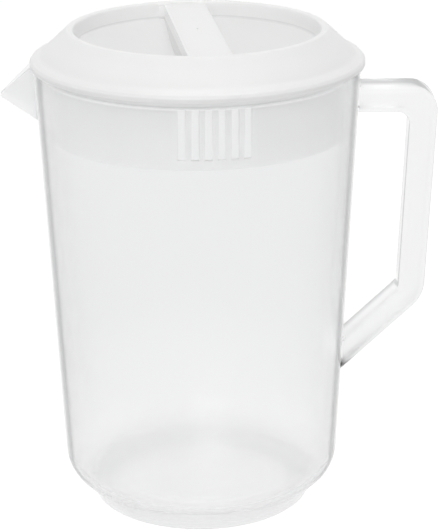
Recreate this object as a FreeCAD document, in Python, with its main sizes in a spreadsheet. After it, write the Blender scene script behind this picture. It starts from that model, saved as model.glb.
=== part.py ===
import FreeCAD, Part
import math
import os
import Sketcher

# Measuring jug with a push-in lid.  Millimetres; Z is up and the foot stands on
# Z = 0, the jug's axis is the Z axis, the handle is toward +X and the spout toward -X.

doc = FreeCAD.newDocument("measuring_jug")

SIZES = [
    # name, value, what it is
    ("bowlbase", 10.6, "height of the bowl's underside above the table"),
    ("bowltaper", 11.4, "how much narrower the straight wall is at the bowl's underside"),
    ("bowlround", 15.6, "radius of the round between wall and floor, outside"),
    ("rimheight", 231.4, "height of the jug's rim"),
    ("rimrad", 81.1, "outside radius of the jug's rim"),
    ("wall", 2.4, "thickness of the jug's wall"),
    ("floor", 3.0, "thickness of the jug's floor"),
    ("rimround", 0.7, "slope taken off the jug's rim inside"),
    ("footstep", 12.9, "how far the foot ring's outside is in from the bowl's wall"),
    ("footwide", 9.8, "width of the foot ring at the table before its edge is rounded"),
    ("footslope", 5.0, "how much wider the foot ring's inside is at its top"),
    ("footround", 5.8, "round on the foot ring's outer edge"),
    ("sink", 1.5, "how far a piece is let into the one it joins"),
    ("gripdrop", 12.7, "how far the handle's top face is below the rim"),
    ("gripbar", 13.2, "height of the handle's upper bar"),
    ("gripreach", 38.5, "how far the grip's outer face is out from the rim at its top"),
    ("griplean", 5.6, "how much further in the grip's outer face is at its foot"),
    ("gripthick", 14.2, "thickness of the grip at its top"),
    ("gripthin", 12.9, "thickness of the grip at its foot"),
    ("gripfall", 110.1, "height of the grip from its top face down to the lower arm"),
    ("armfall", 41.6, "fall of the lower arm's underside from the grip to the wall"),
    ("armthick", 16.0, "height of the lower arm measured straight up"),
    ("gripdepth", 22.5, "width of the handle from face to face"),
    ("gripround", 2.0, "round on the handle's long edges"),
    ("cornerbig", 13.0, "round on the handle's outer top corner"),
    ("cornerlow", 18.0, "round on the handle's outer lower corner"),
    ("cornerin", 6.5, "round inside the handle's top corner"),
    ("cornerfoot", 4.5, "round inside the handle's lower corner"),
    ("spoutout", 16.9, "how far the spout's tip is out from the rim"),
    ("spoutfall", 16.2, "how far the spout's tip is below the rim"),
    ("spoutnose", 2.3, "height of the spout's blunt nose"),
    ("spoutthin", 1.3, "half the width of the spout's nose"),
    ("spoutside", 11.3, "half the spout's width where it joins the wall"),
    ("spoutrise", 2.5, "height the spout's top would reach past the rim at the wall"),
    ("spoutdrop", 34.1, "depth of the spout below the rim where it leaves the wall"),
    ("runback", 11.1, "how far in from the rim the spout's channel is set out"),
    ("runside", 13.9, "half the channel's width there"),
    ("runhigh", 12.6, "height of the channel above the rim there"),
    ("rundrop", 33.6, "depth of the channel below the rim there"),
    ("runtip", 2.2, "distance from the spout's tip to the channel's end"),
    ("runthin", 3.2, "half the channel's width at its end"),
    ("runtop", 6.8, "height of the channel's end above the tip"),
    ("runlow", 0.3, "height of the channel's floor above the tip at its end"),
    ("seatgap", 0.2, "space between the jug's rim and the lid resting on it"),
    ("lipgap", 0.5, "space between the jug's rim and the lid's lip"),
    ("lipout", 1.9, "how far the lid's lip stands out past the jug's rim"),
    ("lipdrop", 1.6, "how far the lip reaches down over the jug's rim"),
    ("lipface", 2.1, "height of the lip's upright outer face"),
    ("flareout", 1.0, "how far the lip stands out past the flare's lower end"),
    ("flarein", 5.0, "how far in from the lip the flare starts"),
    ("flaredrop", 1.8, "fall of the flare"),
    ("flarelift", 1.4, "height from the lip's face to the flare's lower end"),
    ("lidtop", 16.2, "height of the lid's top rim above the jug's rim"),
    ("wellin", 19.9, "how far the well's edge is in from the jug's rim"),
    ("wellrim", 3.2, "width of the lid's top rim"),
    ("crownround", 1.2, "round on the lid's top rim"),
    ("wellwall", 8.0, "height of the well's upright wall"),
    ("welltaper", 1.3, "how much the well narrows over its upright wall"),
    ("welldish", 6.6, "further fall of the well's dished floor"),
    ("wellflat", 16.0, "radius of the flat middle of the well's floor"),
    ("shell", 2.0, "thickness of the lid's shell"),
    ("underlift", 5.2, "rise of the shoulder's underside from the seat to inside the skirt"),
    ("skirtgap", 3.7, "space between the jug's wall and the skirt at the lid's underside"),
    ("skirttaper", 2.3, "how much narrower the skirt is at its lower edge"),
    ("skirtdrop", 36.2, "depth of the skirt below the jug's rim"),
    ("skirtwall", 1.8, "thickness of the skirt"),
    ("lidturn", 6.2, "angle the lid is turned in the jug"),
    ("barwide", 21.4, "width of the grip bar across the well"),
    ("barbite", 1.2, "how far the grip bar is let into the well's wall"),
    ("barsink", 1.1, "how far the grip bar's top is below the lid's top rim"),
    ("barwall", 2.2, "thickness of the hollow grip bar's walls"),
    ("ribwide", 3.0, "width of the small rib beside the grip bar"),
    ("ribout", 3.2, "how far the small rib stands in from the well's wall"),
    ("gaterad", 0.9, "radius of the gate mark on the grip bar"),
    ("gatedeep", 0.5, "depth of the gate mark"),
    ("slotwide", 3.7, "width of a strainer slot"),
    ("slotpitch", 6.2, "distance from one strainer slot to the next"),
    ("slotcount", 6, "number of strainer slots"),
    ("slottop", 6.2, "distance of the slots' upper ends below the jug's rim"),
    ("slottall", 25.2, "height of a strainer slot"),
]

sheet = doc.addObject("Spreadsheet::Sheet", "Sizes")
for row, (name, value, note) in enumerate(SIZES, start=1):
    sheet.set("A%d" % row, str(value))
    sheet.setAlias("A%d" % row, name)
    sheet.set("B%d" % row, note)
doc.recompute()


def size(text):
    """Value of an expression written with the sheet's names."""
    values = {name: float(value) for name, value, note in SIZES}
    total = 0.0
    sign = 1.0
    for word in text.replace("-", " - ").replace("+", " + ").split():
        if word in "+-":
            sign = 1.0 if word == "+" else -1.0
            continue
        term = 1.0
        for factor in word.split("*"):
            top, _, bottom = factor.partition("/")
            number = values[top] if top in values else float(top)
            term *= number / float(bottom or 1)
        total += sign * term
    return total


def sheet_text(text):
    """The same expression as the document's expression engine reads it."""
    words = []
    for word in text.replace("*", " * ").replace("/", " / ").split():
        named = any(word == name for name, value, note in SIZES)
        words.append("Sizes." + word if named else word)
    return " ".join(words)


def origin_part(body, role):
    return next(o for o in body.Origin.OriginFeatures if o.Role == role)


def new_body(name):
    return doc.addObject("PartDesign::Body", name)


def sketch_on(body, name, role, offset=None):
    """An empty sketch flat on one of the body's own planes, offset along its normal."""
    sketch = body.newObject("Sketcher::SketchObject", name)
    sketch.AttachmentSupport = [(origin_part(body, role), "")]
    sketch.MapMode = "FlatFace"
    if offset is not None:
        sketch.setExpression(".AttachmentOffset.Base.z", sheet_text(offset))
    return sketch


def pin(sketch, vertex, across, up):
    """Hold one vertex at the named distances from the sketch's origin."""
    for kind, text in (("DistanceX", across), ("DistanceY", up)):
        value = size(text)
        if abs(value) < 1e-9:
            on_axis = -2 if kind == "DistanceX" else -1
            sketch.addConstraint(Sketcher.Constraint("PointOnObject", *vertex, on_axis))
            continue
        made = sketch.addConstraint(Sketcher.Constraint(kind, -1, 1, *vertex, value))
        sketch.setExpression("Constraints[%d]" % made, sheet_text(text))


def outline(sketch, corners):
    """Closed outline through corners given as pairs of size expressions."""
    spots = [FreeCAD.Vector(size(a), size(b), 0) for a, b in corners]
    count = len(spots)
    first = sketch.GeometryCount
    for i in range(count):
        sketch.addGeometry(Part.LineSegment(spots[i], spots[(i + 1) % count]), False)
    for i in range(count):
        after = first + (i + 1) % count
        sketch.addConstraint(Sketcher.Constraint("Coincident", first + i, 2, after, 1))
    for i, (across, up) in enumerate(corners):
        pin(sketch, (first + i, 1), across, up)


def revolve(body, kind, name, sketch):
    """Revolution or Groove of a sketch about the body's upright axis."""
    feature = body.newObject("PartDesign::" + kind, name)
    feature.Profile = sketch
    feature.ReferenceAxis = (sketch, ["V_Axis"])
    feature.Angle = 360.0
    doc.recompute()
    return feature


def fillet(body, name, base, edges, radius):
    feature = body.newObject("PartDesign::Fillet", name)
    feature.Base = (base, edges)
    feature.setExpression("Radius", sheet_text(radius))
    doc.recompute()
    return feature


def edges_where(feature, test):
    """Names of a feature's edges whose middle and ends pass a test."""
    found = []
    for number, edge in enumerate(feature.Shape.Edges, start=1):
        first, last = edge.FirstParameter, edge.LastParameter
        points = [edge.valueAt(first + (last - first) * t) for t in (0.02, 0.5, 0.98)]
        if all(test(p) for p in points):
            found.append("Edge%d" % number)
    return found


def ring_at(radius, height, slack=0.05):
    """Test for the circular edge of one radius at one height."""
    want_r, want_z = size(radius), size(height)
    return lambda p: abs(math.hypot(p.x, p.y) - want_r) < slack and abs(p.z - want_z) < slack


def loft(body, kind, name, first, second):
    feature = body.newObject("PartDesign::" + kind, name)
    feature.Profile = first
    feature.Sections = [second]
    feature.Ruled = True
    doc.recompute()
    return feature


def circle_on(sketch, across, up, radius):
    """Circle of a named radius about a spot given by two size expressions."""
    middle = FreeCAD.Vector(size(across), size(up), 0)
    ring = sketch.addGeometry(Part.Circle(middle, FreeCAD.Vector(0, 0, 1), size(radius)), False)
    pin(sketch, (ring, 3), across, up)
    made = sketch.addConstraint(Sketcher.Constraint("Radius", ring, size(radius)))
    sketch.setExpression("Constraints[%d]" % made, sheet_text(radius))


def pocket(body, name, sketch, length, upward):
    """Pocket of a sketch; upward means along the sketch's own normal."""
    before = body.Shape.Volume
    feature = body.newObject("PartDesign::Pocket", name)
    feature.Profile = sketch
    feature.Reversed = upward
    feature.setExpression("Length", sheet_text(length))
    doc.recompute()
    if feature.Shape.Volume >= before - 1e-6:
        raise ValueError(name + " removes nothing")
    return feature


# Radii and heights that several features share, written with the sheet's names.
BOWL_R = "rimrad - bowltaper"
FOOT_R = BOWL_R + " - footstep"
FOOT_IN = FOOT_R + " - footwide"
GRIP_TOP = "rimheight - gripdrop"
GRIP_OUT = "rimrad + gripreach"
GRIP_LOW_OUT = GRIP_OUT + " - griplean"
GRIP_FOOT = GRIP_TOP + " - gripfall"
ARM_END = GRIP_FOOT + " - armfall"
KNEE_IN = GRIP_FOOT + " + armthick - gripthin*0.92"
SPOUT_TIP = "rimheight - spoutfall"
LIP_R = "rimrad + lipout"
LIP = "rimheight - lipdrop"
SEAT = "rimheight + seatgap"
WELL_R = "rimrad - wellin"
TOP = "rimheight + lidtop"
FLOOR = TOP + " - wellwall"
DISH = FLOOR + " - welldish"
SKIRT_R = "rimrad - wall - skirtgap"
SKIRT_LOW_R = SKIRT_R + " - skirttaper"
SKIRT_END = "rimheight - skirtdrop"
SLOT_TOP = "rimheight - slottop"

# ------------------------------------------------------------------------- jug
jug = new_body("jug")

bowl_sketch = sketch_on(jug, "bowl_profile", "XZ_Plane")
outline(bowl_sketch, [("0", "bowlbase"), (BOWL_R, "bowlbase"),
                      ("rimrad", "rimheight"), ("rimrad", "rimheight + sink"),
                      ("0", "rimheight + sink")])
bowl = revolve(jug, "Revolution", "bowl", bowl_sketch)

# The handle is one outline padded evenly to both sides, its corners rounded first and
# its long edges last.
handle_sketch = sketch_on(jug, "handle_outline", "XZ_Plane")
outline(handle_sketch, [
    ("rimrad - wall - sink", GRIP_TOP),
    (GRIP_OUT, GRIP_TOP),
    (GRIP_LOW_OUT, GRIP_FOOT),
    (BOWL_R, ARM_END),
    (BOWL_R, ARM_END + " + armthick"),
    (GRIP_LOW_OUT + " - gripthin", KNEE_IN),
    (GRIP_OUT + " - gripthick", GRIP_TOP + " - gripbar"),
    ("rimrad - wall - sink", GRIP_TOP + " - gripbar"),
])
handle = jug.newObject("PartDesign::Pad", "handle")
handle.Profile = handle_sketch
handle.SideType = "Symmetric"
handle.setExpression("Length", sheet_text("gripdepth"))
doc.recompute()


def upright_edge(across, height, slack=0.3):
    """Test for a handle edge running straight from face to face."""
    want_x, want_z = size(across), size(height)
    return lambda p: abs(p.x - want_x) < slack and abs(p.z - want_z) < slack


CORNERS = [
    ("corner_out", GRIP_OUT, GRIP_TOP, "cornerbig"),
    ("corner_low", GRIP_LOW_OUT, GRIP_FOOT, "cornerlow"),
    ("corner_in", GRIP_OUT + " - gripthick", GRIP_TOP + " - gripbar", "cornerin"),
    ("corner_foot", GRIP_LOW_OUT + " - gripthin", KNEE_IN, "cornerfoot"),
]
shaped = handle
for name, across, height, radius in CORNERS:
    shaped = fillet(jug, name, shaped, edges_where(shaped, upright_edge(across, height)), radius)


def wall_radius(z):
    """Outside radius of the jug's straight wall at a height."""
    share = (z - size("bowlbase")) / (size("rimheight") - size("bowlbase"))
    return size(BOWL_R) + size("bowltaper") * share


def on_handle_face(p):
    side = abs(abs(p.y) - size("gripdepth") / 2) < 0.01
    return side and math.hypot(p.x, p.y) > wall_radius(p.z) + 0.02


handle_round = fillet(jug, "handle_round", shaped, edges_where(shaped, on_handle_face),
                      "gripround")


# The spout is a three-sided beak let into the wall.  Turning out the hollow also levels
# the rim and clears the spout's top for the lid's lip; the pouring channel is cut last.
def beak_sketch(body, name, offset, half, low, high):
    """Triangle standing on its point in a plane across the spout."""
    sketch = sketch_on(body, name, "YZ_Plane", offset)
    outline(sketch, [("0", low), (half, high), ("0 - " + half, high)])
    return sketch


spout_root = beak_sketch(jug, "spout_root", "wall - rimrad + 1", "spoutside",
                         "rimheight - spoutdrop", "rimheight + spoutrise")
spout_nose = beak_sketch(jug, "spout_nose", "0 - rimrad - spoutout", "spoutthin",
                         SPOUT_TIP + " - spoutnose", SPOUT_TIP)
spout = loft(jug, "AdditiveLoft", "spout", spout_root, spout_nose)

hollow_sketch = sketch_on(jug, "hollow_profile", "XZ_Plane")
outline(hollow_sketch, [("0", "bowlbase + floor"), (BOWL_R + " - wall", "bowlbase + floor"),
                        ("rimrad - wall", "rimheight - rimround"),
                        ("rimrad - wall + rimround", "rimheight"),
                        ("rimrad", "rimheight"),
                        ("rimrad", LIP + " - seatgap"),
                        ("rimrad + 2*sink", LIP + " - seatgap"),
                        ("rimrad + 2*sink", "rimheight + spoutrise + sink"),
                        ("0", "rimheight + spoutrise + sink")])
hollow = revolve(jug, "Groove", "hollow", hollow_sketch)
corner_out = fillet(jug, "bowl_round", hollow,
                    edges_where(hollow, ring_at(BOWL_R, "bowlbase")), "bowlround")
corner_in = fillet(jug, "hollow_round", corner_out,
                   edges_where(corner_out, ring_at(BOWL_R + " - wall", "bowlbase + floor")),
                   "bowlround - wall")

foot_sketch = sketch_on(jug, "foot_profile", "XZ_Plane")
outline(foot_sketch, [(FOOT_IN, "0"), (FOOT_R, "0"), (FOOT_R, "bowlbase + sink"),
                      (FOOT_IN + " + footslope", "bowlbase + sink")])
foot = revolve(jug, "Revolution", "foot", foot_sketch)
foot_round = fillet(jug, "foot_round", foot, edges_where(foot, ring_at(FOOT_R, "0")),
                    "footround")

run_root = beak_sketch(jug, "run_root", "runback - rimrad", "runside",
                       "rimheight - rundrop", "rimheight + runhigh")
run_end = beak_sketch(jug, "run_end", "runtip - rimrad - spoutout", "runthin",
                      SPOUT_TIP + " + runlow", SPOUT_TIP + " + runtop")
run = loft(jug, "SubtractiveLoft", "pouring_run", run_root, run_end)
jug.Tip = run

# ------------------------------------------------------------------------- lid
# One thin shell: the sloping shoulder with its lip, the well sunk into the top and the
# skirt that hangs in the jug's mouth.
lid = new_body("lid")

shell_sketch = sketch_on(lid, "shell_profile", "XZ_Plane")
outline(shell_sketch, [
    ("0", DISH),
    ("wellflat", DISH),
    (WELL_R + " - welltaper", FLOOR),
    (WELL_R, TOP),
    (WELL_R + " + wellrim", TOP),
    (LIP_R + " - flarein", LIP + " + lipface + flarelift + flaredrop"),
    (LIP_R + " - flareout", LIP + " + lipface + flarelift"),
    (LIP_R, LIP + " + lipface"),
    (LIP_R, LIP),
    ("rimrad + lipgap", LIP),
    ("rimrad + lipgap", SEAT),
    (SKIRT_R, SEAT),
    (SKIRT_LOW_R, SKIRT_END),
    (SKIRT_LOW_R + " - skirtwall", SKIRT_END),
    (SKIRT_R + " - skirtwall", SEAT + " + underlift"),
    (WELL_R + " + shell", TOP + " - shell"),
    (WELL_R + " - welltaper + shell", FLOOR + " - 1"),
    ("wellflat", DISH + " - shell"),
    ("0", DISH + " - shell"),
])
shell = revolve(lid, "Revolution", "shell", shell_sketch)


def crown_edge(p):
    around = math.hypot(p.x, p.y)
    off = min(abs(around - size(WELL_R)), abs(around - size(WELL_R + " + wellrim")))
    return off < 0.02 and abs(p.z - size(TOP)) < 0.01


crown = fillet(lid, "crown", shell, edges_where(shell, crown_edge), "crownround")


def block(sketch, left, right, low, high):
    """Rectangle between four named lines."""
    outline(sketch, [(left, low), (right, low), (right, high), (left, high)])


# The grip bar runs across the well; it is open from below like the rest of the shell.
bar_sketch = sketch_on(lid, "bar_outline", "XY_Plane", DISH + " - 1")
block(bar_sketch, "0 - barwide/2", "barwide/2", "wellin - rimrad - barbite",
      WELL_R + " + barbite")
bar = lid.newObject("PartDesign::Pad", "grip_bar")
bar.Profile = bar_sketch
bar.setExpression("Length", sheet_text("wellwall + welldish - barsink + 1"))
doc.recompute()

inside_sketch = sketch_on(lid, "bar_inside", "XY_Plane", DISH + " - shell - 1")
block(inside_sketch, "barwall - barwide/2", "barwide/2 - barwall",
      "barwall + wellrim + wellin - rimrad - barbite",
      WELL_R + " + barbite - wellrim - barwall")
inside = pocket(lid, "bar_hollow", inside_sketch,
                "wellwall + welldish - barsink + shell + 1 - barwall", upward=True)

rib_sketch = sketch_on(lid, "rib_outline", "XY_Plane", FLOOR + " - 1")
block(rib_sketch, "0 - barwide/2 - ribwide", "barwall - barwide/2",
      WELL_R + " - ribout", WELL_R)
rib = lid.newObject("PartDesign::Pad", "bar_rib")
rib.Profile = rib_sketch
rib.setExpression("Length", sheet_text("wellwall - barsink"))
doc.recompute()

gate_sketch = sketch_on(lid, "gate_mark", "XY_Plane", TOP + " - barsink")
circle_on(gate_sketch, "0", "0", "gaterad")
gate = pocket(lid, "gate_mark_dimple", gate_sketch, "gatedeep", upward=False)

# One strainer slot is cut through the front of the skirt and repeated side by side.
slot_sketch = sketch_on(lid, "slot_outline", "XZ_Plane", SKIRT_LOW_R + " - 3*skirtwall")
SLOT = "slotpitch/2 - slotcount*slotpitch/2"
block(slot_sketch, SLOT + " - slotwide/2", SLOT + " + slotwide/2",
      SLOT_TOP + " - slottall", SLOT_TOP)
slot = pocket(lid, "strainer_slot", slot_sketch, "6*skirtwall", upward=True)
row = lid.newObject("PartDesign::LinearPattern", "strainer_slots")
row.Originals = [slot]
row.Direction = (slot_sketch, ["H_Axis"])
row.setExpression("Length", sheet_text("slotcount*slotpitch - slotpitch"))
row.setExpression("Occurrences", "Sizes.slotcount")
lid.Tip = row
lid.Placement = FreeCAD.Placement(FreeCAD.Vector(0, 0, 0),
                                  FreeCAD.Rotation(FreeCAD.Vector(0, 0, 1), 1))
lid.setExpression("Placement.Rotation.Angle", "Sizes.lidturn * 1 deg")
doc.recompute()

# ---------------------------------------------------------------------- export
NODES = {"jug": jug, "lid": lid}
for name, node in NODES.items():
    node.Label = name

for item in doc.Objects:
    if "Invalid" in item.State or "Error" in item.State:
        raise ValueError(item.Name + " did not recompute")

os.makedirs("parts", exist_ok=True)
for name, node in NODES.items():
    if node.Shape.isNull() or not node.Shape.isValid() or len(node.Shape.Solids) != 1:
        raise ValueError(name + " is not one sound solid")
    node.Shape.exportStep("parts/" + name + ".step")
    print(name, round(node.Shape.Volume), "mm3")
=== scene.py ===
"""Measuring jug with a push-in lid: its moulded surfaces, plastics and studio.

Lengths are written in millimetres and turned into metres when a mesh is made.
Z is up, the foot stands on Z = 0, the handle is toward +X and the spout toward -X.
"""
import math

import bmesh
import bpy
import numpy as np
from mathutils import Matrix, Vector


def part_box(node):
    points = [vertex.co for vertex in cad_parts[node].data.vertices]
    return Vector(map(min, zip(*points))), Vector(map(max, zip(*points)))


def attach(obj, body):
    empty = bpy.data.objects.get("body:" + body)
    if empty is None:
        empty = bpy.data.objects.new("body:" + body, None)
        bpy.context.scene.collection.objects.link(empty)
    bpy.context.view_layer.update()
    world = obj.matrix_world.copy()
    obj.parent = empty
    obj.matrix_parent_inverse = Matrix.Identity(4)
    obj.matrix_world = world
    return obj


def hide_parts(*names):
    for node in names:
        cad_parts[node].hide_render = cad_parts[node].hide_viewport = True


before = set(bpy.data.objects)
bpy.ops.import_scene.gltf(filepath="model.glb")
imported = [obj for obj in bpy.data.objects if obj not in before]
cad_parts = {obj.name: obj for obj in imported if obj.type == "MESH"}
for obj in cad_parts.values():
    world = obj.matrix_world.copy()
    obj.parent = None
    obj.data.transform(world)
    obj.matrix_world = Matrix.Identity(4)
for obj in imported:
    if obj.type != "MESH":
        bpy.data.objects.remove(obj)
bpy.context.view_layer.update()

MM = 0.001


def high_mm(node, axis):
    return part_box(node)[1][axis] / MM


def low_mm(node, axis):
    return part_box(node)[0][axis] / MM


# ------------------------------------------------------------------ driving sizes
RIM_Z = high_mm("jug", 2)
RIM_R = high_mm("jug", 1)
SPOUT_TIP = low_mm("jug", 0)
LID_TOP = high_mm("lid", 2)
LIP_R = high_mm("lid", 1)
SKIRT_Z = low_mm("lid", 2)

WALL = 2.4
FLOOR = 3.0
BOWL_Z = 10.6
BOWL_R = 69.7
BOWL_ROUND = 15.6
FOOT_R = 56.8
FOOT_IN = 47.0
FOOT_ROUND = 5.8
LID_TURN = math.radians(6.2)


# ------------------------------------------------------------------ surface making
# Runs longer than this are cut, first this far from the arcs at their ends.
SHORT_RUN = 1.5
CUT_BY_ARC = 0.35


def rounded(corners, step=9.0, arc=10.0):
    """Outline through corners (x, y, round), each round a tangent arc.

    An arc of radius r at a corner whose path turns by the angle a starts r * tan(a / 2)
    before the corner; it is cut every `arc` degrees.  Straight runs are cut every `step`
    and once more close to each arc, which keeps the shading of flats flat.
    """
    spots = np.array([c[:2] for c in corners], float)
    radii = [c[2] if len(c) > 2 else 0.0 for c in corners]
    pieces = []
    for i, here in enumerate(spots):
        before, after = spots[i - 1], spots[(i + 1) % len(spots)]
        into = (here - before) / np.linalg.norm(here - before)
        away = (after - here) / np.linalg.norm(after - here)
        turn = math.atan2(into[0] * away[1] - into[1] * away[0], into @ away)
        if radii[i] <= 0 or abs(turn) < 1e-4:
            pieces.append(here[None, :])
            continue
        side = math.copysign(1.0, turn)
        start = here - into * radii[i] * math.tan(abs(turn) / 2)
        across = side * np.array([-into[1], into[0]])
        count = max(2, int(math.ceil(math.degrees(abs(turn)) / arc)))
        angle = np.linspace(0, abs(turn), count + 1)[:, None]
        centre = start + across * radii[i]
        pieces.append(centre - radii[i] * (across * np.cos(angle) - into * np.sin(angle)))
    path = []
    for i, piece in enumerate(pieces):
        path.append(piece)
        gap = pieces[(i + 1) % len(pieces)][0] - piece[-1]
        length = np.linalg.norm(gap)
        if length > SHORT_RUN:
            near = CUT_BY_ARC / length
            cuts = np.linspace(near, 1 - near, max(2, int(length / step) + 1))
            path.append(piece[-1] + gap * cuts[:, None])
    return np.vstack(path)


def grid_faces(rows, columns, wrap_rows=False, wrap_columns=True):
    """Corner numbers of the quads of a grid that closes on itself where asked."""
    r = np.arange(rows if wrap_rows else rows - 1)[:, None]
    c = np.arange(columns if wrap_columns else columns - 1)[None, :]
    r2, c2 = (r + 1) % rows, (c + 1) % columns
    quads = [r * columns + c, r * columns + c2, r2 * columns + c2, r2 * columns + c]
    return np.stack([q.ravel() for q in np.broadcast_arrays(*quads)], axis=1)


def mesh_object(name, points, faces):
    """An object at the origin from points in millimetres and a list of faces."""
    data = bpy.data.meshes.new(name)
    data.from_pydata((np.asarray(points) * MM).tolist(), [], [list(map(int, f)) for f in faces])
    data.validate()
    made = bpy.data.objects.new(name, data)
    bpy.context.scene.collection.objects.link(made)
    return made


def turned(name, profile, count=360):
    """Solid of revolution: (r cos a, r sin a, z) for each profile point (r, z).

    The profile is closed along the axis: its first and last points have r = 0 and become
    one pole each, joined to the next ring by triangles.
    """
    a = np.linspace(0, 2 * math.pi, count, endpoint=False)
    r, z = profile[1:-1, 0], profile[1:-1, 1]
    rings = np.stack([r[:, None] * np.cos(a), r[:, None] * np.sin(a),
                      np.broadcast_to(z[:, None], (len(r), count))], axis=2).reshape(-1, 3)
    poles = np.array([[0, 0, profile[0, 1]], [0, 0, profile[-1, 1]]])
    points = np.vstack([rings, poles])
    spin = np.arange(count)
    after = (spin + 1) % count
    last = (len(r) - 1) * count
    top, bottom = len(rings), len(rings) + 1
    faces = grid_faces(len(r), count).tolist()
    faces += np.stack([np.full(count, top), after, spin], axis=1).tolist()
    faces += np.stack([np.full(count, bottom), last + spin, last + after], axis=1).tolist()
    return outward(mesh_object(name, points, faces))


def swept(name, sections):
    """Closed solid through sections (rows of points); each end is one flat face."""
    rows, columns, _ = sections.shape
    faces = grid_faces(rows, columns).tolist()
    faces.append(list(range(columns))[::-1])
    faces.append(list(range((rows - 1) * columns, rows * columns)))
    return outward(mesh_object(name, sections.reshape(-1, 3), faces))


def outward(made):
    """Turn the faces of a closed mesh outwards."""
    cage = bmesh.new()
    cage.from_mesh(made.data)
    bmesh.ops.recalc_face_normals(cage, faces=cage.faces)
    cage.to_mesh(made.data)
    cage.free()
    return made


def carve(base, tool, operation):
    """Join a tool to a base or cut it away, and drop the tool."""
    change = base.modifiers.new("carve", "BOOLEAN")
    change.operation = operation
    change.solver = "MANIFOLD"
    change.object = tool
    bpy.context.view_layer.update()
    shaped = bpy.data.meshes.new_from_object(
        base.evaluated_get(bpy.context.evaluated_depsgraph_get()))
    base.modifiers.clear()
    base.data = shaped
    bpy.data.objects.remove(tool)
    return base


def smooth(made, angle=28.0):
    """Smooth shading with creases where faces meet more sharply than an angle."""
    made.data.shade_smooth()
    made.data.set_sharp_from_angle(angle=math.radians(angle))
    return made


# ---------------------------------------------------------------------------- jug
# Handle: a bar out from the rim, a grip that leans in, and an arm back to the wall.
GRIP_TOP = 218.7
GRIP_BAR = 13.2
GRIP_OUT = 119.6
GRIP_LEAN = 5.6
GRIP_THICK = 14.2
GRIP_THIN = 12.9
GRIP_FOOT = 108.6
ARM_END = 67.0
ARM_THICK = 16.0
GRIP_DEPTH = 22.5
GRIP_EDGE = 4.0
KNEE_DROP = 0.92
BAR_IN_WALL = 0.2
ARM_IN_WALL = 1.6
OUTER_BENDS = (13.0, 18.0)
INNER_BENDS = (6.5, 4.5)
RUN_CUTS = 11


def rail(corners, arc_count=10):
    """Open path through corners (x, z, round), with the same count of points in any
    rail that has as many corners: a run is cut in ten and a round in ten."""
    spots = np.array([c[:2] for c in corners], float)
    parts = []
    last = spots[0]
    for i in range(1, len(spots) - 1):
        here = spots[i]
        radius = corners[i][2]
        into = (here - spots[i - 1]) / np.linalg.norm(here - spots[i - 1])
        away = (spots[i + 1] - here) / np.linalg.norm(spots[i + 1] - here)
        turn = math.atan2(into[0] * away[1] - into[1] * away[0], into @ away)
        start = here - into * radius * math.tan(abs(turn) / 2)
        across = math.copysign(1.0, turn) * np.array([-into[1], into[0]])
        angle = np.linspace(0, abs(turn), arc_count + 1)[:, None]
        bend = start + across * radius - radius * (across * np.cos(angle) - into * np.sin(angle))
        parts.append(last + (start - last) * np.linspace(0, 1, RUN_CUTS)[:-1, None])
        parts.append(bend[:-1])
        last = bend[-1]
    parts.append(last + (spots[-1] - last) * np.linspace(0, 1, RUN_CUTS)[:, None])
    return np.vstack(parts)


def rounded_box_section(half_a, half_b, edge, cuts=6):
    """Rounded rectangle as offsets (a, b): quarter circles about its four inner corners."""
    angle = np.linspace(0, math.pi / 2, cuts + 1)
    offsets = []
    for quarter, (sa, sb) in enumerate([(1, 1), (-1, 1), (-1, -1), (1, -1)]):
        t = angle + quarter * math.pi / 2
        offsets.append(np.stack([sa * (half_a - edge) + edge * np.cos(t),
                                 sb * (half_b - edge) + edge * np.sin(t)], axis=1))
    return np.vstack(offsets)


def make_handle():
    """Bar between an outer and an inner rail: at each step along them a rounded rectangle
    spans from rail to rail and the handle's depth across."""
    grip_in = GRIP_OUT - GRIP_THICK
    low_out = GRIP_OUT - GRIP_LEAN
    low_in = low_out - GRIP_THIN
    inner_knee = GRIP_FOOT + ARM_THICK - GRIP_THIN * KNEE_DROP
    root_top = RIM_R - WALL + BAR_IN_WALL
    root_low = BOWL_R + ARM_IN_WALL
    fall = (GRIP_FOOT - ARM_END) / (low_out - BOWL_R)
    rise = (inner_knee - ARM_END - ARM_THICK) / (low_in - BOWL_R)
    outer = rail([(root_top, GRIP_TOP), (GRIP_OUT, GRIP_TOP, OUTER_BENDS[0]),
                  (low_out, GRIP_FOOT, OUTER_BENDS[1]),
                  (root_low, ARM_END + fall * (root_low - BOWL_R))])
    inner = rail([(root_top, GRIP_TOP - GRIP_BAR),
                  (grip_in, GRIP_TOP - GRIP_BAR, INNER_BENDS[0]),
                  (low_in, inner_knee, INNER_BENDS[1]),
                  (root_low, ARM_END + ARM_THICK + rise * (root_low - BOWL_R))])
    middle = (outer + inner) / 2
    span = outer - inner
    half = np.linalg.norm(span, axis=1) / 2
    toward = span / (2 * half[:, None])
    sections = []
    for centre, reach, way in zip(middle, half, toward):
        offset = rounded_box_section(reach, GRIP_DEPTH / 2, GRIP_EDGE)
        sections.append(np.stack([centre[0] + offset[:, 0] * way[0], offset[:, 1],
                                  centre[1] + offset[:, 0] * way[1]], axis=1))
    return swept("handle", np.array(sections))


def wedge(name, x1, section1, x2, section2, rows=12):
    """Ruled solid between two outlines (y, z) standing across the X axis."""
    t = np.linspace(0, 1, rows)[:, None, None]
    flat = section1 * (1 - t) + section2 * t
    x = np.broadcast_to(x1 + (x2 - x1) * t, flat[:, :, :1].shape)
    return swept(name, np.concatenate([x, flat], axis=2))


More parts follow.
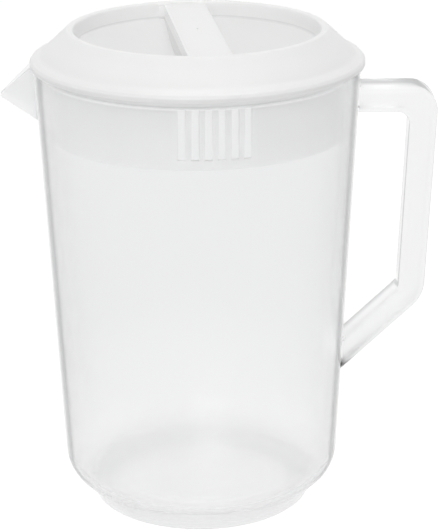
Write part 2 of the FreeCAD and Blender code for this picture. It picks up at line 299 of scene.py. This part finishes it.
def vee(half, low, high, foot):
    """Triangle standing on its point, the point rounded: (y, z) outline."""
    slope = math.atan2(high - low, half)
    lean = math.pi / 2 - slope
    angle = np.linspace(-math.pi / 2 - lean, -math.pi / 2 + lean, 9)
    centre = low + foot / math.cos(slope)
    bottom = np.stack([foot * np.cos(angle), centre + foot * np.sin(angle)], axis=1)
    return np.vstack([[[-half, high]], bottom, [[half, high]]])


# Edges of the jug: how far the foot's recess widens upward, and the small rounds.  The
# body rises a little past the rim, and the hollow reaches further up and out to trim it.
RECESS_SPREAD = 5.0
FOOT_CREASE = 0.6
RECESS_ROUND = 1.5
RIM_BREAK_OUT = 0.5
RIM_BREAK_IN = 0.7
RIM_BREAK_DROP = 1.8
BODY_SPARE = 1.5
HOLLOW_UP = 6
HOLLOW_OUT = 4
JUG_ARC = 6.0

# Beak and its pouring run.  At the wall: half width, reach below and above the rim, round
# of the keel.  At the tip: half width, low and high edge, round of the keel.
BEAK_AT_WALL = (11.3, 34.1, 2.5, 0.8)
BEAK_AT_TIP = (1.3, 212.9, 215.2, 0.3)
BEAK_IN_WALL = 1.0
RUN_AT_WALL = (13.9, 33.6, 12.6, 1.2)
RUN_AT_TIP = (3.2, 215.5, 222.0, 0.4)
RUN_START = -70.0
TIP_WALL = 2.2


def spout_part(name, start, at_wall, end, at_tip):
    """Three-sided solid from inside the wall out to the tip."""
    half, below, above, keel = at_wall
    return wedge(name, start, vee(half, RIM_Z - below, RIM_Z + above, keel), end, vee(*at_tip))


def make_jug():
    """Outer body with handle and beak joined on, then the hollow and the run cut out."""
    inside = RIM_R - WALL
    body = rounded([
        (0, RIM_Z + BODY_SPARE), (RIM_R, RIM_Z + BODY_SPARE, 0), (RIM_R, RIM_Z),
        (BOWL_R, BOWL_Z, BOWL_ROUND), (FOOT_R, BOWL_Z, FOOT_CREASE), (FOOT_R, 0, FOOT_ROUND),
        (FOOT_IN, 0, FOOT_CREASE), (FOOT_IN + RECESS_SPREAD, BOWL_Z, RECESS_ROUND),
        (0, BOWL_Z)], arc=JUG_ARC)
    hollow = rounded([
        (0, RIM_Z + HOLLOW_UP), (RIM_R + HOLLOW_OUT, RIM_Z + HOLLOW_UP),
        (RIM_R + HOLLOW_OUT, RIM_Z - RIM_BREAK_DROP),
        (RIM_R, RIM_Z - RIM_BREAK_DROP), (RIM_R, RIM_Z - RIM_BREAK_OUT),
        (RIM_R - RIM_BREAK_OUT, RIM_Z), (inside + RIM_BREAK_IN, RIM_Z),
        (inside, RIM_Z - RIM_BREAK_IN),
        (BOWL_R - WALL, BOWL_Z + FLOOR, BOWL_ROUND - WALL), (0, BOWL_Z + FLOOR)], arc=JUG_ARC)
    jug = turned("jug_moulding", open_at_axis(body))
    carve(jug, make_handle(), "UNION")
    beak = spout_part("beak", BEAK_IN_WALL - inside, BEAK_AT_WALL, SPOUT_TIP, BEAK_AT_TIP)
    carve(jug, beak, "UNION")
    carve(jug, turned("hollow", open_at_axis(hollow)), "DIFFERENCE")
    run = spout_part("run", RUN_START, RUN_AT_WALL, SPOUT_TIP + TIP_WALL, RUN_AT_TIP)
    carve(jug, run, "DIFFERENCE")
    return smooth(jug)


def open_at_axis(profile):
    """The stretch of a closed outline off the axis, from its upper axis point down."""
    on_axis = np.flatnonzero(np.abs(profile[:, 0]) < 1e-6)
    top = on_axis[np.argmax(profile[on_axis, 1])]
    run = np.roll(profile, -top, axis=0)
    low = np.flatnonzero(np.abs(run[:, 0]) < 1e-6)
    low = low[low > 0][0]
    return run[:low + 1]


# ---------------------------------------------------------------------------- lid
WELL_R = 61.2
WELL_RIM = 3.2
WELL_WALL = 8.0
WELL_TAPER = 1.3
WELL_DISH = 6.6
WELL_FLAT = 16.0
SHELL = 2.0
SKIRT_TOP = 75.0
SKIRT_LOW = 72.7
SKIRT_WALL = 1.8
BAR_HALF = 10.7
BAR_REACH = 62.4
BAR_SINK = 1.1
BAR_WALL = 2.2
SLOT_WIDE = 3.7
SLOT_PITCH = 6.2
SLOT_COUNT = 6
SLOT_TOP = 6.2
SLOT_TALL = 25.2
SLOT_INTO = 8.0
SLOT_OUT = 6.0
SEAT_GAP = 0.2
LIP_DROP = 1.6
LIP_GAP = 0.5
NECK_INSET = 0.2
BEAD_Z = 5.6
RIB_STEP = 3.0
RIB_DEPTH = 3.2
RIB_DROP = 0.3
GATE_R = 0.9
GATE_DEEP = 0.5
DISH_ROUND = 30.0
LID_ARC = 9.0


def box_solid(name, low, high, edge=0.0):
    """Box between two corners; its upright edges are quarter rounds."""
    centre = [(a + b) / 2 for a, b in zip(low, high)]
    section = rounded_box_section((high[0] - low[0]) / 2, (high[1] - low[1]) / 2, max(edge, 0.01))
    z = np.array([low[2], high[2]])
    rows = [np.column_stack([section[:, 0] + centre[0], section[:, 1] + centre[1],
                             np.full(len(section), h)]) for h in z]
    return swept(name, np.array(rows))


def make_lid():
    """Turned shell with a bar across its well, hollow from below, and slots in the skirt."""
    floor_z = LID_TOP - WELL_WALL
    dish_z = floor_z - WELL_DISH
    lip_z = RIM_Z - LIP_DROP
    seat_z = RIM_Z + SEAT_GAP
    groove_r = RIM_R + LIP_GAP
    skirt_in = SKIRT_TOP - SKIRT_WALL
    well_low_r = WELL_R - WELL_TAPER
    shell = rounded([
        (0, dish_z), (WELL_FLAT, dish_z, DISH_ROUND), (well_low_r, floor_z, 1.2),
        (WELL_R, LID_TOP, 1.2), (WELL_R + WELL_RIM, LID_TOP, 1.4),
        (LIP_R - 5.0, lip_z + 5.3, 6.0), (LIP_R - 1.0, lip_z + 3.5, 1.2),
        (LIP_R, lip_z + 2.1, 0.9), (LIP_R, lip_z, 0.4), (groove_r, lip_z, 0.2),
        (groove_r, seat_z, 0.2), (SKIRT_TOP, seat_z, 0.5),
        (SKIRT_TOP - NECK_INSET, RIM_Z - BEAD_Z + 0.6, 0.4),
        (SKIRT_TOP + 0.7, RIM_Z - BEAD_Z, 0.8), (SKIRT_TOP - 0.1, RIM_Z - BEAD_Z - 2.0, 1.0),
        (SKIRT_LOW, SKIRT_Z, 0.4), (SKIRT_LOW - SKIRT_WALL, SKIRT_Z, 0.4),
        (skirt_in - 1.6, seat_z + 5.2, 1.0), (WELL_R + SHELL, LID_TOP - SHELL, 0.8),
        (well_low_r + SHELL, floor_z - 1, 1.0),
        (WELL_FLAT, dish_z - SHELL, DISH_ROUND), (0, dish_z - SHELL)], arc=LID_ARC)
    lid = turned("lid_moulding", open_at_axis(shell))
    top = LID_TOP - BAR_SINK
    inside = BAR_HALF - BAR_WALL
    reach = BAR_REACH - WELL_RIM - BAR_WALL
    bar = box_solid("bar", (-BAR_HALF, -BAR_REACH, dish_z - 1), (BAR_HALF, BAR_REACH, top))
    rib = box_solid("rib", (-BAR_HALF - RIB_STEP, WELL_R - RIB_DEPTH, floor_z - 1),
                    (-inside, WELL_R, top - RIB_DROP), 0.4)
    hollow = box_solid("bar_inside", (-inside, -reach, dish_z - SHELL - 1),
                       (inside, reach, top - BAR_WALL), 1.0)
    gate = box_solid("gate_mark", (-GATE_R, -GATE_R, top - GATE_DEEP),
                     (GATE_R, GATE_R, top + 1.0), GATE_R - 0.01)
    carve(lid, bar, "UNION")
    carve(lid, rib, "UNION")
    carve(lid, hollow, "DIFFERENCE")
    for i in range(SLOT_COUNT):
        middle = (i - (SLOT_COUNT - 1) / 2) * SLOT_PITCH
        low = (middle - SLOT_WIDE / 2, -SKIRT_LOW - SLOT_OUT, RIM_Z - SLOT_TOP - SLOT_TALL)
        high = (middle + SLOT_WIDE / 2, -SKIRT_LOW + SLOT_INTO, RIM_Z - SLOT_TOP)
        carve(lid, box_solid("slot", low, high), "DIFFERENCE")
    carve(lid, gate, "DIFFERENCE")
    lid.data.transform(Matrix.Rotation(LID_TURN, 4, "Z"))
    return smooth(lid)


# ----------------------------------------------------------------------- plastics
class Signal:
    """A shader socket; arithmetic on it adds Math nodes to its tree."""

    def __init__(self, plan, socket):
        self.plan = plan
        self.socket = socket

    def maths(self, operation, *others):
        return self.plan.node("ShaderNodeMath", {"operation": operation},
                              dict(enumerate((self, *others))))

    def below(self, other):
        return self.maths("LESS_THAN", other)

    def above(self, other):
        return self.maths("GREATER_THAN", other)

    def at_least(self, other):
        return self.maths("MAXIMUM", other)

    def at_most(self, other):
        return self.maths("MINIMUM", other)

    def __add__(self, other):
        return self.maths("ADD", other)

    __radd__ = __add__

    def __mul__(self, other):
        return self.maths("MULTIPLY", other)

    __rmul__ = __mul__

    def __sub__(self, other):
        return self.maths("SUBTRACT", other)

    def __rsub__(self, other):
        return self.plan.node("ShaderNodeMath", {"operation": "SUBTRACT"}, {0: other, 1: self})


class Plan:
    """A node tree being built; node() adds one node and gives its chosen output."""

    def __init__(self, tree):
        self.tree = tree
        tree.nodes.clear()

    def node(self, kind, settings=None, sockets=None, output=0):
        made = self.tree.nodes.new(kind)
        settings = dict(settings or {})
        stops = settings.pop("stops", None)
        for name, value in settings.items():
            setattr(made, name, value)
        if stops:
            ramp = made.color_ramp
            while len(ramp.elements) < len(stops):
                ramp.elements.new(0.5)
            for element, (place, tone) in zip(ramp.elements, stops):
                element.position = place
                element.color = tone if len(tone) == 4 else (*tone, 1.0)
        for key, value in (sockets or {}).items():
            if isinstance(value, Signal):
                self.tree.links.new(value.socket, made.inputs[key])
            else:
                made.inputs[key].default_value = value
        return Signal(self, made.outputs[output]) if made.outputs else None


def new_plan(name):
    material = bpy.data.materials.new(name)
    material.use_nodes = True
    return material, Plan(material.node_tree)


def place(plan):
    return plan.node("ShaderNodeTexCoord", output="Object")


def noise(plan, scale, detail=2.0, stretch=(1, 1, 1)):
    """Noise from 0 to 1 whose spots are about 1 / scale metres, stretched along axes."""
    spot = plan.node("ShaderNodeMapping", {}, {"Vector": place(plan), "Scale": stretch})
    return plan.node("ShaderNodeTexNoise", {}, {"Vector": spot, "Scale": scale, "Detail": detail})


def tint(plan, mask, first, second):
    """First colour where the mask is 0 and second where it is 1; each a colour or a socket."""
    first, second = ((*c, 1.0) if isinstance(c, tuple) else c for c in (first, second))
    return plan.node("ShaderNodeMix", {"data_type": "RGBA"},
                     {"Factor": mask, "A": first, "B": second}, output="Result")


def measures(plan):
    """Place along X, height and distance from the jug's axis, in metres."""
    parts = plan.tree.nodes.new("ShaderNodeSeparateXYZ")
    plan.tree.links.new(place(plan).socket, parts.inputs[0])
    x, y, z = (Signal(plan, parts.outputs[i]) for i in range(3))
    spread = x * x + y * y
    return x, z, spread.maths("SQRT")


SKIN_ROOM = 0.5


def skins(radius, z):
    """Two masks: 1 on the jug's inner surfaces and under its foot, and 1 on the outside of
    its round wall."""
    slope = (RIM_R - BOWL_R) / (RIM_Z - BOWL_Z)
    middle = (BOWL_R - WALL / 2 - BOWL_Z * slope) * MM + slope * z
    inner = radius.below(middle)
    near = radius.below(middle + (WALL / 2 + SKIN_ROOM) * MM)
    return inner, (1 - inner) * near


def band(plan, value, rise, full, fall, end):
    """1 from full to fall, 0 before rise and after end."""
    return plan.node("ShaderNodeValToRGB", {"stops": [
        (rise, (0, 0, 0)), (full, (1, 1, 1)), (fall, (1, 1, 1)), (end, (0, 0, 0))]}, {"Fac": value})


def step_down(value, full, none):
    """1 below full, 0 above none, straight between."""
    return ((none - value) * (1 / (none - full))).at_least(0.0).at_most(1.0)


PLASTIC_IOR = 1.49

# Jug: how much of the light its skins let through, by place; the lighter low body is painted light
# and the darker foot is painted shade.
BODY_HAZE = ((0.905, 0.907, 0.909), (0.935, 0.937, 0.939))
# Painted light: the body is lighter towards the bottom, lifting the shade of the bottom seen
# through the wall.
PAINTED_LIGHT_LOW = (0.968, 0.969, 0.970)
LOW_FULL, LOW_NONE = 30.0, 80.0
SPOUT_TONE = (0.925, 0.927, 0.929)
HANDLE_TONE = (0.955, 0.956, 0.957)
# Painted shade: the foot is darker.
FOOT_SHADE_TONE = (0.85, 0.852, 0.854)
# Painted highlight and painted shade: a light line and a dark line along the outline of clear
# plastic, by how steeply its skin turns away.
PAINTED_HIGHLIGHT_LINE = (0.50, 0.58, 0.66, 0.72)
PAINTED_HIGHLIGHT_TONE = (0.985, 0.986, 0.987)
PAINTED_SHADE_LINE = (0.70, 0.755, 0.85, 0.87)
PAINTED_SHADE_TONE = (0.36, 0.365, 0.37)
# Roughness: polished outside, hazier inside, satin on handle, spout and lid.
POLISHED = 0.06
HAZY = 0.175
HAZY_STREAKS = 0.03
SATIN = 0.25


def jug_plastic():
    """Clear plastic: polished round wall, hazy inside, satin handle and spout; painted highlight
    and painted shade lines along its outline, painted light on the low body, painted shade on the
    foot.
    """
    material, plan = new_plan("jug_plastic")
    streaks = noise(plan, 14.0, 3.0, (1.0, 1.0, 0.12))
    haze = noise(plan, 9.0, 2.0)
    ripple = noise(plan, 30.0, 1.0, (1.0, 1.0, 0.25))
    bump = plan.node("ShaderNodeBump", {}, {
        "Strength": 0.004, "Distance": 0.001, "Height": ripple})
    x, z, radius = measures(plan)
    inner, wall = skins(radius, z)
    limb = 1 - inner - wall
    # How steeply the skin turns away, for the painted highlight and painted shade lines.
    grazing = plan.node("ShaderNodeLayerWeight", {}, {"Blend": 0.5}, output="Facing")
    # Mask for painted light: the body is lighter towards the bottom.
    low = step_down(z, LOW_FULL * MM, LOW_NONE * MM)
    # Mask for painted shade on the foot.
    foot = step_down(z, (BOWL_Z - 1.5) * MM, BOWL_Z * MM)
    limbs = tint(plan, x.above(0.0), SPOUT_TONE, HANDLE_TONE)
    clear = tint(plan, haze, *BODY_HAZE)
    # Painted light: lighter towards the bottom.
    clear = tint(plan, low, clear, PAINTED_LIGHT_LOW)
    clear = tint(plan, limb, clear, limbs)
    # Painted highlight along the outline of the round wall, then painted shade along the outline of
    # every outer skin.
    clear = tint(plan, band(plan, grazing, *PAINTED_HIGHLIGHT_LINE) * wall, clear, PAINTED_HIGHLIGHT_TONE)
    clear = tint(plan, band(plan, grazing, *PAINTED_SHADE_LINE) * (1 - inner), clear, PAINTED_SHADE_TONE)
    # Painted shade: the foot darker.
    clear = tint(plan, foot, clear, FOOT_SHADE_TONE)
    skin = plan.node("ShaderNodeBsdfPrincipled", {}, {
        "Base Color": clear,
        "Roughness": POLISHED + inner * (HAZY + HAZY_STREAKS * streaks) + SATIN * limb,
        "IOR": PLASTIC_IOR,
        "Transmission Weight": 1.0,
        "Normal": bump})
    depth = plan.node("ShaderNodeVolumeAbsorption", {}, {
        "Color": (0.5, 0.505, 0.51, 1.0), "Density": 2.0})
    plan.node("ShaderNodeOutputMaterial", {}, {"Surface": skin, "Volume": depth})
    return material


# Lid: milk white; painted shade greys the skirt and the floor of the well, and a painted highlight
# lightens the bead.
MILK = ((0.895, 0.895, 0.893), (0.925, 0.925, 0.923))
PAINTED_SHADE_GREY = (0.7, 0.7, 0.7)
SHADE_SHARE = 0.55
BEAD_HIGHLIGHT_TONE = (0.97, 0.97, 0.97)
SKIRT_SHADE_Z = 4.8
BEAD_HIGHLIGHT_Z = 6.0
BEAD_HIGHLIGHT_HALF = 0.7
WELL_SHADE_Z = 7.0


def lid_plastic():
    """Milky plastic that lets light through, with a satin skin; painted shade greys its skirt and
    well floor, and a painted highlight lightens the bead.
    """
    material, plan = new_plan("lid_plastic")
    cloud = noise(plan, 22.0, 3.0)
    grain = noise(plan, 900.0, 2.0)
    _, z, radius = measures(plan)
    # Masks for painted shade: the greyer skirt and the greyer floor of the well.
    skirt = z.below((RIM_Z - SKIRT_SHADE_Z) * MM)
    well = z.below((LID_TOP - WELL_SHADE_Z) * MM) * radius.below((WELL_R - 1.0) * MM)
    well = (1 - skirt) * well
    # Mask for a painted highlight: a light ring round the bead.
    bead = z.maths("COMPARE", (RIM_Z - BEAD_HIGHLIGHT_Z) * MM, BEAD_HIGHLIGHT_HALF * MM)
    white = tint(plan, cloud, *MILK)
    # Painted shade greys the skirt and the well floor.
    white = tint(plan, SHADE_SHARE * skirt + SHADE_SHARE * well, white, PAINTED_SHADE_GREY)
    # Painted highlight on the bead.
    white = tint(plan, bead, white, BEAD_HIGHLIGHT_TONE)
    bump = plan.node("ShaderNodeBump", {}, {
        "Strength": 0.05, "Distance": 0.0003, "Height": grain})
    skin = plan.node("ShaderNodeBsdfPrincipled", {}, {
        "Base Color": white,
        "Roughness": 0.26 + 0.08 * grain,
        "IOR": PLASTIC_IOR,
        "Subsurface Weight": 1.0,
        "Subsurface Radius": (1.0, 1.0, 1.0),
        "Subsurface Scale": 0.003,
        "Normal": bump})
    plan.node("ShaderNodeOutputMaterial", {}, {"Surface": skin})
    return material


def dress(made, material):
    made.data.materials.clear()
    made.data.materials.append(material)


jug = make_jug()
dress(jug, jug_plastic())
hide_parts("jug")
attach(jug, "root")

lid = make_lid()
dress(lid, lid_plastic())
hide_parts("lid")
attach(lid, "root")


# ------------------------------------------------------------------------- studio
def ray_kinds(plan):
    """Two masks: 1 for a ray straight from the eye, 1 for one by a mirror or clear plastic."""
    path = plan.tree.nodes.new("ShaderNodeLightPath")
    eye, gloss, through = (Signal(plan, path.outputs[n]) for n in
                           ("Is Camera Ray", "Is Glossy Ray", "Is Transmission Ray"))
    return eye, gloss.at_least(through)


WHITE = (1, 1, 1, 1)
FLOOR_REACH = 4000.0
FLOOR_PAINT = (0.8, 0.8, 0.8, 1.0)
FLOOR_SHADOW = (0.3, 0.3, 0.3, 1.0)
FLOOR_GLOW = 0.84
FILL = 0.54


def make_floor():
    """White floor.  To the eye part of its tone is its own, so that a shadow on it stays
    faint; in a mirror or through plastic it is plain white, and it lights the jug from
    below as a white table does."""
    reach = FLOOR_REACH
    floor = mesh_object("floor", [(-reach, -reach, 0), (reach, -reach, 0), (reach, reach, 0),
                                  (-reach, reach, 0)], [(0, 1, 2, 3)])
    material, plan = new_plan("floor")
    eye, clear = ray_kinds(plan)
    lit = plan.node("ShaderNodeBsdfDiffuse", {}, {"Color": FLOOR_PAINT})
    faint = plan.node("ShaderNodeBsdfDiffuse", {}, {"Color": FLOOR_SHADOW})
    white = plan.node("ShaderNodeEmission", {}, {"Color": WHITE, "Strength": 1.0})
    glow = plan.node("ShaderNodeEmission", {}, {"Color": WHITE, "Strength": FLOOR_GLOW})
    to_eye = plan.node("ShaderNodeAddShader", {}, {0: faint, 1: glow})
    shown = plan.node("ShaderNodeMixShader", {}, {0: clear, 1: lit, 2: white})
    either = plan.node("ShaderNodeMixShader", {}, {0: eye, 1: shown, 2: to_eye})
    plan.node("ShaderNodeOutputMaterial", {}, {"Surface": either})
    dress(floor, material)


def make_world():
    """White backdrop to the eye, in mirrors and through plastic; a softer fill on the rest."""
    world = bpy.data.worlds.new("studio")
    world.use_nodes = True
    bpy.context.scene.world = world
    plan = Plan(world.node_tree)
    eye, clear = ray_kinds(plan)
    backdrop = plan.node("ShaderNodeBackground", {}, {"Color": WHITE, "Strength": 1.0})
    fill = plan.node("ShaderNodeBackground", {}, {"Color": WHITE, "Strength": FILL})
    both = plan.node("ShaderNodeMixShader", {}, {0: eye.at_least(clear),
                                                 1: fill, 2: backdrop})
    plan.node("ShaderNodeOutputWorld", {}, {"Surface": both})


def lamp(name, spot, aim, width, height, power):
    """Soft rectangular lamp at a spot, turned to face an aim; metres and watts."""
    light = bpy.data.lights.new(name, "AREA")
    light.shape = "RECTANGLE"
    light.size, light.size_y = width, height
    light.energy = power
    made = bpy.data.objects.new(name, light)
    made.location = spot
    made.rotation_euler = (Vector(aim) - Vector(spot)).to_track_quat("-Z", "Y").to_euler()
    bpy.context.scene.collection.objects.link(made)


def make_camera():
    """Camera a little above the lid, its frame turned by a hair."""
    spot = Vector((0.0, -1.050, 0.480978))
    aim = Vector((0.010447, 0.0, 0.123452))
    camera = bpy.data.cameras.new("camera")
    camera.sensor_width = 36.0
    camera.lens = 147.414
    camera.clip_end = 50.0
    made = bpy.data.objects.new("camera", camera)
    facing = (aim - spot).to_track_quat("-Z", "Y").to_matrix().to_4x4()
    made.matrix_world = Matrix.Translation(spot) @ facing @ Matrix.Rotation(-0.007, 4, "Z")
    bpy.context.scene.collection.objects.link(made)
    bpy.context.scene.camera = made


make_floor()
make_world()
lamp("softbox_front", (-0.25, -1.35, 1.2), (0, 0, 0.12), 0.7, 0.7, 7.0)
lamp("softbox_top", (0.1, 0.2, 1.6), (0, 0, 0.2), 1.0, 1.0, 4.0)
make_camera()
bpy.context.scene.view_settings.view_transform = "Standard"
light_paths = bpy.context.scene.cycles
light_paths.blur_glossy = 0.0
light_paths.max_bounces = 24
light_paths.glossy_bounces = 16
light_paths.transmission_bounces = 20
